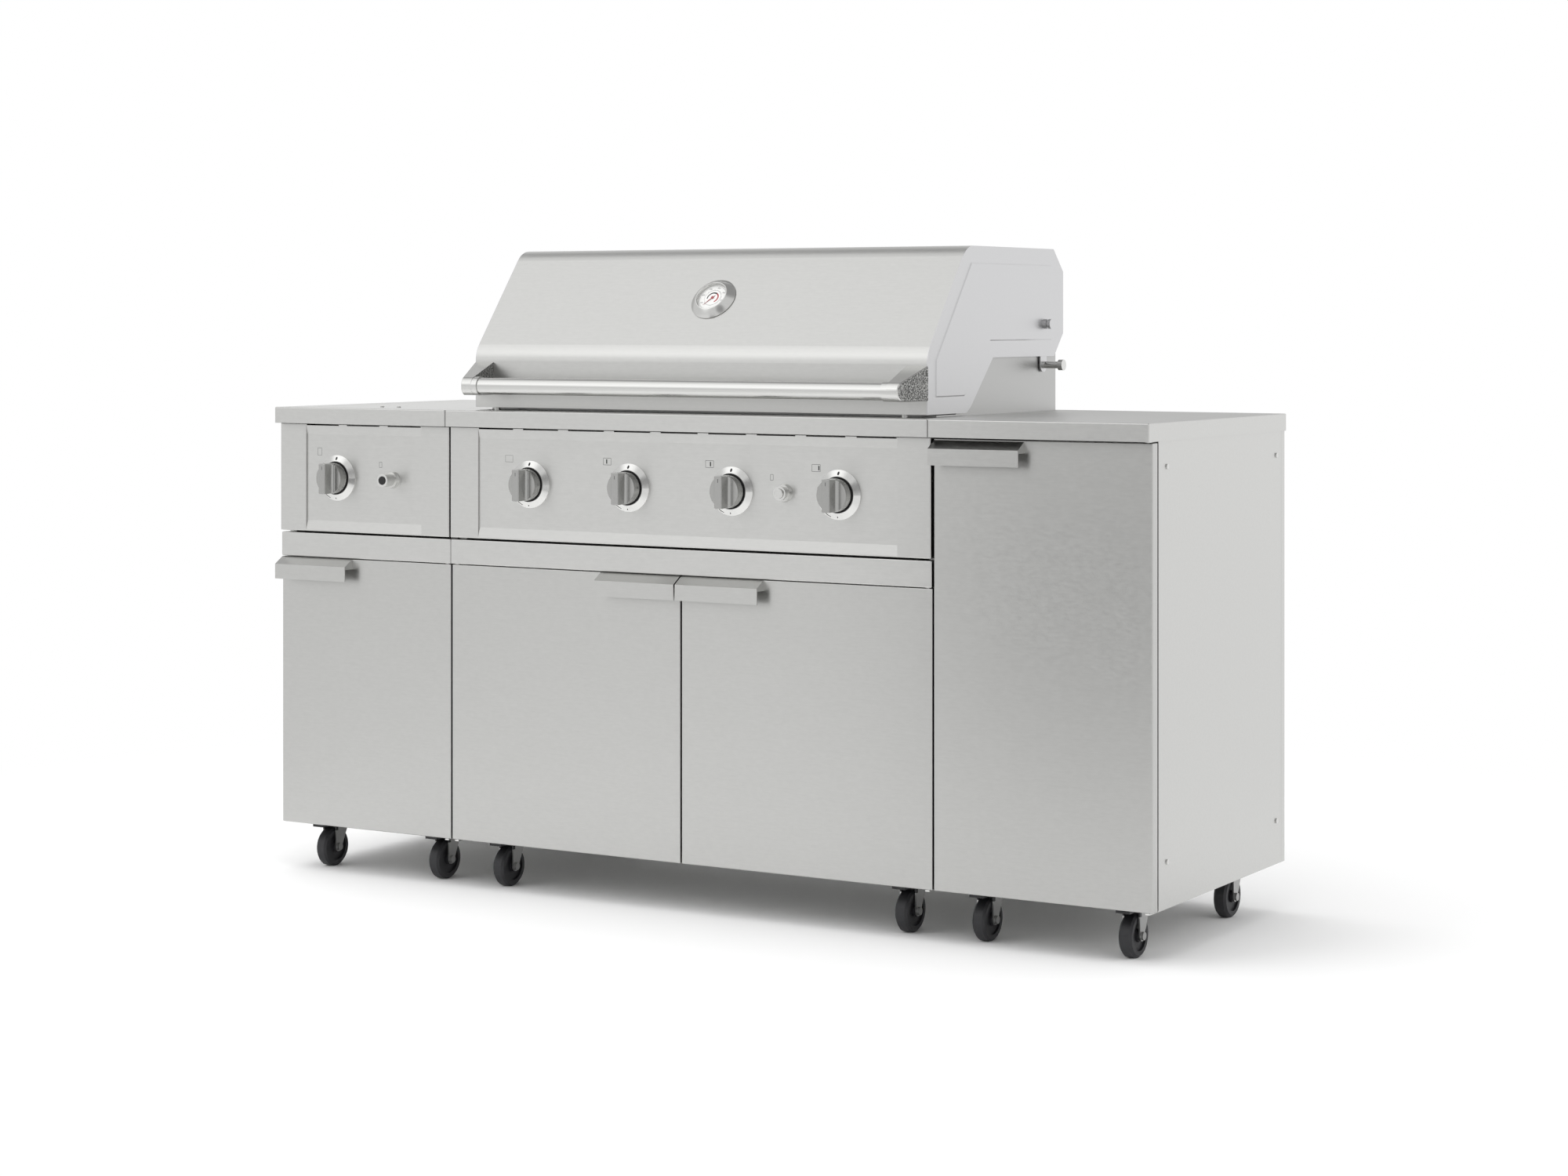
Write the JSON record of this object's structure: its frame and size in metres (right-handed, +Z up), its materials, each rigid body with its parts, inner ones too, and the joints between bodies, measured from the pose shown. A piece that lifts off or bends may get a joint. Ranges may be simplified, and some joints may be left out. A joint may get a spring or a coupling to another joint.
{
  "type": "outdoor kitchen island",
  "caption": "Stainless outdoor kitchen island on casters: hooded gas grill in the middle, side burner with a flush lid on the left, tall storage cabinet on the right.",
  "frame": {"origin": "on the ground, under the middle of the island's bounding box", "axes": "+X to the right as seen from the front, along the island's length; +Y to the back; +Z up"},
  "size_m": [1.85, 0.64, 1.202],
  "materials": {
    "brushed_stainless": "brushed along the island's length",
    "satin_stainless": "smooth satin",
    "bright_steel": "polished",
    "satin_knob_metal": "satin",
    "zinc_steel": "dull zinc",
    "black_cast_iron": "matt",
    "black_plastic": "gloss",
    "red_paint": "matt",
    "black_wheel": "matt"
  },
  "bodies": {
    "island": {"left_worktop": "brushed_stainless", "right_worktop": "brushed_stainless", "grill_surround": "brushed_stainless", "left_cabinet": "brushed_stainless", "centre_cabinet": "brushed_stainless", "right_cabinet": "brushed_stainless", "left_control_panel": "brushed_stainless", "grill_control_panel": "brushed_stainless", "firebox": "satin_stainless", "burners": "satin_stainless", "flame_tamers": "satin_stainless", "cooking_grates": "black_cast_iron", "warming_rack": "bright_steel", "gas_manifold": "zinc_steel", "side_burner_bowl": "satin_stainless", "control_bezels": "bright_steel", "fasteners": "bright_steel", "caster_plates": "zinc_steel"},
    "hood": {"hood_skin": "brushed_stainless", "hood_cheeks": "satin_stainless", "hood_handle": "brushed_stainless", "thermometer": "brushed_stainless"},
    "needle": {"thermometer_needle": "red_paint"},
    "grease_tray_body": {"grease_tray": "satin_stainless"},
    "side_burner_lid_body": {"side_burner_lid": "brushed_stainless"},
    "side_burner_knob_body": {"side_burner_knob": "satin_knob_metal"},
    "burner_knob_1_body": {"burner_knob_1": "satin_knob_metal"},
    "burner_knob_2_body": {"burner_knob_2": "satin_knob_metal"},
    "burner_knob_3_body": {"burner_knob_3": "satin_knob_metal"},
    "burner_knob_4_body": {"burner_knob_4": "satin_knob_metal"},
    "side_igniter_button_body": {"side_igniter_button": "black_plastic"},
    "grill_igniter_button_body": {"grill_igniter_button": "bright_steel"},
    "left_door_body": {"left_door": "brushed_stainless"},
    "grill_left_door_body": {"grill_left_door": "brushed_stainless"},
    "grill_right_door_body": {"grill_right_door": "brushed_stainless"},
    "right_door_body": {"right_door": "brushed_stainless"},
    "left_outer_front_swivel": {"left_outer_front_fork": "zinc_steel"},
    "left_outer_front_roller": {"left_outer_front_wheel": "black_wheel"},
    "left_outer_rear_swivel": {"left_outer_rear_fork": "zinc_steel"},
    "left_outer_rear_roller": {"left_outer_rear_wheel": "black_wheel"},
    "left_inner_front_swivel": {"left_inner_front_fork": "zinc_steel"},
    "left_inner_front_roller": {"left_inner_front_wheel": "black_wheel"},
    "left_inner_rear_swivel": {"left_inner_rear_fork": "zinc_steel"},
    "left_inner_rear_roller": {"left_inner_rear_wheel": "black_wheel"},
    "grill_left_front_swivel": {"grill_left_front_fork": "zinc_steel"},
    "grill_left_front_roller": {"grill_left_front_wheel": "black_wheel"},
    "grill_left_rear_swivel": {"grill_left_rear_fork": "zinc_steel"},
    "grill_left_rear_roller": {"grill_left_rear_wheel": "black_wheel"},
    "grill_right_front_swivel": {"grill_right_front_fork": "zinc_steel"},
    "grill_right_front_roller": {"grill_right_front_wheel": "black_wheel"},
    "grill_right_rear_swivel": {"grill_right_rear_fork": "zinc_steel"},
    "grill_right_rear_roller": {"grill_right_rear_wheel": "black_wheel"},
    "right_inner_front_swivel": {"right_inner_front_fork": "zinc_steel"},
    "right_inner_front_roller": {"right_inner_front_wheel": "black_wheel"},
    "right_inner_rear_swivel": {"right_inner_rear_fork": "zinc_steel"},
    "right_inner_rear_roller": {"right_inner_rear_wheel": "black_wheel"},
    "right_outer_front_swivel": {"right_outer_front_fork": "zinc_steel"},
    "right_outer_front_roller": {"right_outer_front_wheel": "black_wheel"},
    "right_outer_rear_swivel": {"right_outer_rear_fork": "zinc_steel"},
    "right_outer_rear_roller": {"right_outer_rear_wheel": "black_wheel"}
  },
  "joints": [
    {"name": "hood_hinge", "type": "hinge", "parent": "island", "child": "hood", "pos_m": [0, 0.23, 0.986], "axis": [-1, 0, 0], "range_deg": [0, 80]},
    {"name": "needle_pivot", "type": "hinge", "parent": "hood", "child": "needle", "pos_m": [0, -0.157, 1.10696], "axis": [0, 0.787, -0.6169], "range_deg": [0, 270]},
    {"name": "side_burner_lid_hinge", "type": "hinge", "parent": "island", "child": "side_burner_lid_body", "pos_m": [-0.719, 0.162, 0.895], "axis": [-1, 0, 0], "range_deg": [0, 95]},
    {"name": "side_burner_knob_turn", "type": "hinge", "parent": "island", "child": "side_burner_knob_body", "pos_m": [-0.784, -0.281, 0.7645], "axis": [0, -1, 0], "range_deg": [0, 180]},
    {"name": "burner_knob_1_turn", "type": "hinge", "parent": "island", "child": "burner_knob_1_body", "pos_m": [-0.3294, -0.281, 0.7645], "axis": [0, -1, 0], "range_deg": [0, 180]},
    {"name": "burner_knob_2_turn", "type": "hinge", "parent": "island", "child": "burner_knob_2_body", "pos_m": [-0.1098, -0.281, 0.7645], "axis": [0, -1, 0], "range_deg": [0, 180]},
    {"name": "burner_knob_3_turn", "type": "hinge", "parent": "island", "child": "burner_knob_3_body", "pos_m": [0.1098, -0.281, 0.7645], "axis": [0, -1, 0], "range_deg": [0, 180]},
    {"name": "burner_knob_4_turn", "type": "hinge", "parent": "island", "child": "burner_knob_4_body", "pos_m": [0.3294, -0.281, 0.7645], "axis": [0, -1, 0], "range_deg": [0, 180]},
    {"name": "side_igniter_button_push", "type": "slide", "parent": "island", "child": "side_igniter_button_body", "axis": [0, 1, 0], "range_m": [0, 0.003], "stiffness_N_per_m": 300},
    {"name": "grill_igniter_button_push", "type": "slide", "parent": "island", "child": "grill_igniter_button_body", "axis": [0, 1, 0], "range_m": [0, 0.003], "stiffness_N_per_m": 300},
    {"name": "grease_tray_slide", "type": "slide", "parent": "island", "child": "grease_tray_body", "axis": [0, 1, 0], "range_m": [0, 0.4]},
    {"name": "left_door_hinge", "type": "hinge", "parent": "island", "child": "left_door_body", "pos_m": [-0.5245, -0.2635, 0.3485], "axis": [0, 0, 1], "range_deg": [0, 85]},
    {"name": "grill_left_door_hinge", "type": "hinge", "parent": "island", "child": "grill_left_door_body", "pos_m": [-0.5015, -0.2635, 0.3485], "axis": [0, 0, -1], "range_deg": [0, 85]},
    {"name": "grill_right_door_hinge", "type": "hinge", "parent": "island", "child": "grill_right_door_body", "pos_m": [0.5015, -0.2635, 0.3485], "axis": [0, 0, 1], "range_deg": [0, 85]},
    {"name": "right_door_hinge", "type": "hinge", "parent": "island", "child": "right_door_body", "pos_m": [0.9125, -0.2635, 0.3485], "axis": [0, 0, 1], "range_deg": [0, 85]},
    {"name": "left_outer_front_swivel_turn", "type": "hinge", "parent": "island", "child": "left_outer_front_swivel", "pos_m": [-0.856, -0.169, 0.0889], "axis": [0, 0, 1], "continuous": true},
    {"name": "left_outer_front_wheel_roll", "type": "hinge", "parent": "left_outer_front_swivel", "child": "left_outer_front_roller", "pos_m": [-0.856, -0.198, 0.0375], "axis": [1, 0, 0], "continuous": true},
    {"name": "left_outer_rear_swivel_turn", "type": "hinge", "parent": "island", "child": "left_outer_rear_swivel", "pos_m": [-0.856, 0.238, 0.0889], "axis": [0, 0, 1], "continuous": true},
    {"name": "left_outer_rear_wheel_roll", "type": "hinge", "parent": "left_outer_rear_swivel", "child": "left_outer_rear_roller", "pos_m": [-0.856, 0.209, 0.0375], "axis": [1, 0, 0], "continuous": true},
    {"name": "left_inner_front_swivel_turn", "type": "hinge", "parent": "island", "child": "left_inner_front_swivel", "pos_m": [-0.582, -0.169, 0.0889], "axis": [0, 0, 1], "continuous": true},
    {"name": "left_inner_front_wheel_roll", "type": "hinge", "parent": "left_inner_front_swivel", "child": "left_inner_front_roller", "pos_m": [-0.582, -0.198, 0.0375], "axis": [1, 0, 0], "continuous": true},
    {"name": "left_inner_rear_swivel_turn", "type": "hinge", "parent": "island", "child": "left_inner_rear_swivel", "pos_m": [-0.582, 0.238, 0.0889], "axis": [0, 0, 1], "continuous": true},
    {"name": "left_inner_rear_wheel_roll", "type": "hinge", "parent": "left_inner_rear_swivel", "child": "left_inner_rear_roller", "pos_m": [-0.582, 0.209, 0.0375], "axis": [1, 0, 0], "continuous": true},
    {"name": "grill_left_front_swivel_turn", "type": "hinge", "parent": "island", "child": "grill_left_front_swivel", "pos_m": [-0.431, -0.169, 0.0889], "axis": [0, 0, 1], "continuous": true},
    {"name": "grill_left_front_wheel_roll", "type": "hinge", "parent": "grill_left_front_swivel", "child": "grill_left_front_roller", "pos_m": [-0.431, -0.198, 0.0375], "axis": [1, 0, 0], "continuous": true},
    {"name": "grill_left_rear_swivel_turn", "type": "hinge", "parent": "island", "child": "grill_left_rear_swivel", "pos_m": [-0.431, 0.238, 0.0889], "axis": [0, 0, 1], "continuous": true},
    {"name": "grill_left_rear_wheel_roll", "type": "hinge", "parent": "grill_left_rear_swivel", "child": "grill_left_rear_roller", "pos_m": [-0.431, 0.209, 0.0375], "axis": [1, 0, 0], "continuous": true},
    {"name": "grill_right_front_swivel_turn", "type": "hinge", "parent": "island", "child": "grill_right_front_swivel", "pos_m": [0.431, -0.169, 0.0889], "axis": [0, 0, 1], "continuous": true},
    {"name": "grill_right_front_wheel_roll", "type": "hinge", "parent": "grill_right_front_swivel", "child": "grill_right_front_roller", "pos_m": [0.431, -0.198, 0.0375], "axis": [1, 0, 0], "continuous": true},
    {"name": "grill_right_rear_swivel_turn", "type": "hinge", "parent": "island", "child": "grill_right_rear_swivel", "pos_m": [0.431, 0.238, 0.0889], "axis": [0, 0, 1], "continuous": true},
    {"name": "grill_right_rear_wheel_roll", "type": "hinge", "parent": "grill_right_rear_swivel", "child": "grill_right_rear_roller", "pos_m": [0.431, 0.209, 0.0375], "axis": [1, 0, 0], "continuous": true},
    {"name": "right_inner_front_swivel_turn", "type": "hinge", "parent": "island", "child": "right_inner_front_swivel", "pos_m": [0.582, -0.169, 0.0889], "axis": [0, 0, 1], "continuous": true},
    {"name": "right_inner_front_wheel_roll", "type": "hinge", "parent": "right_inner_front_swivel", "child": "right_inner_front_roller", "pos_m": [0.582, -0.198, 0.0375], "axis": [1, 0, 0], "continuous": true},
    {"name": "right_inner_rear_swivel_turn", "type": "hinge", "parent": "island", "child": "right_inner_rear_swivel", "pos_m": [0.582, 0.238, 0.0889], "axis": [0, 0, 1], "continuous": true},
    {"name": "right_inner_rear_wheel_roll", "type": "hinge", "parent": "right_inner_rear_swivel", "child": "right_inner_rear_roller", "pos_m": [0.582, 0.209, 0.0375], "axis": [1, 0, 0], "continuous": true},
    {"name": "right_outer_front_swivel_turn", "type": "hinge", "parent": "island", "child": "right_outer_front_swivel", "pos_m": [0.856, -0.169, 0.0889], "axis": [0, 0, 1], "continuous": true},
    {"name": "right_outer_front_wheel_roll", "type": "hinge", "parent": "right_outer_front_swivel", "child": "right_outer_front_roller", "pos_m": [0.856, -0.198, 0.0375], "axis": [1, 0, 0], "continuous": true},
    {"name": "right_outer_rear_swivel_turn", "type": "hinge", "parent": "island", "child": "right_outer_rear_swivel", "pos_m": [0.856, 0.238, 0.0889], "axis": [0, 0, 1], "continuous": true},
    {"name": "right_outer_rear_wheel_roll", "type": "hinge", "parent": "right_outer_rear_swivel", "child": "right_outer_rear_roller", "pos_m": [0.856, 0.209, 0.0375], "axis": [1, 0, 0], "continuous": true}
  ]
}
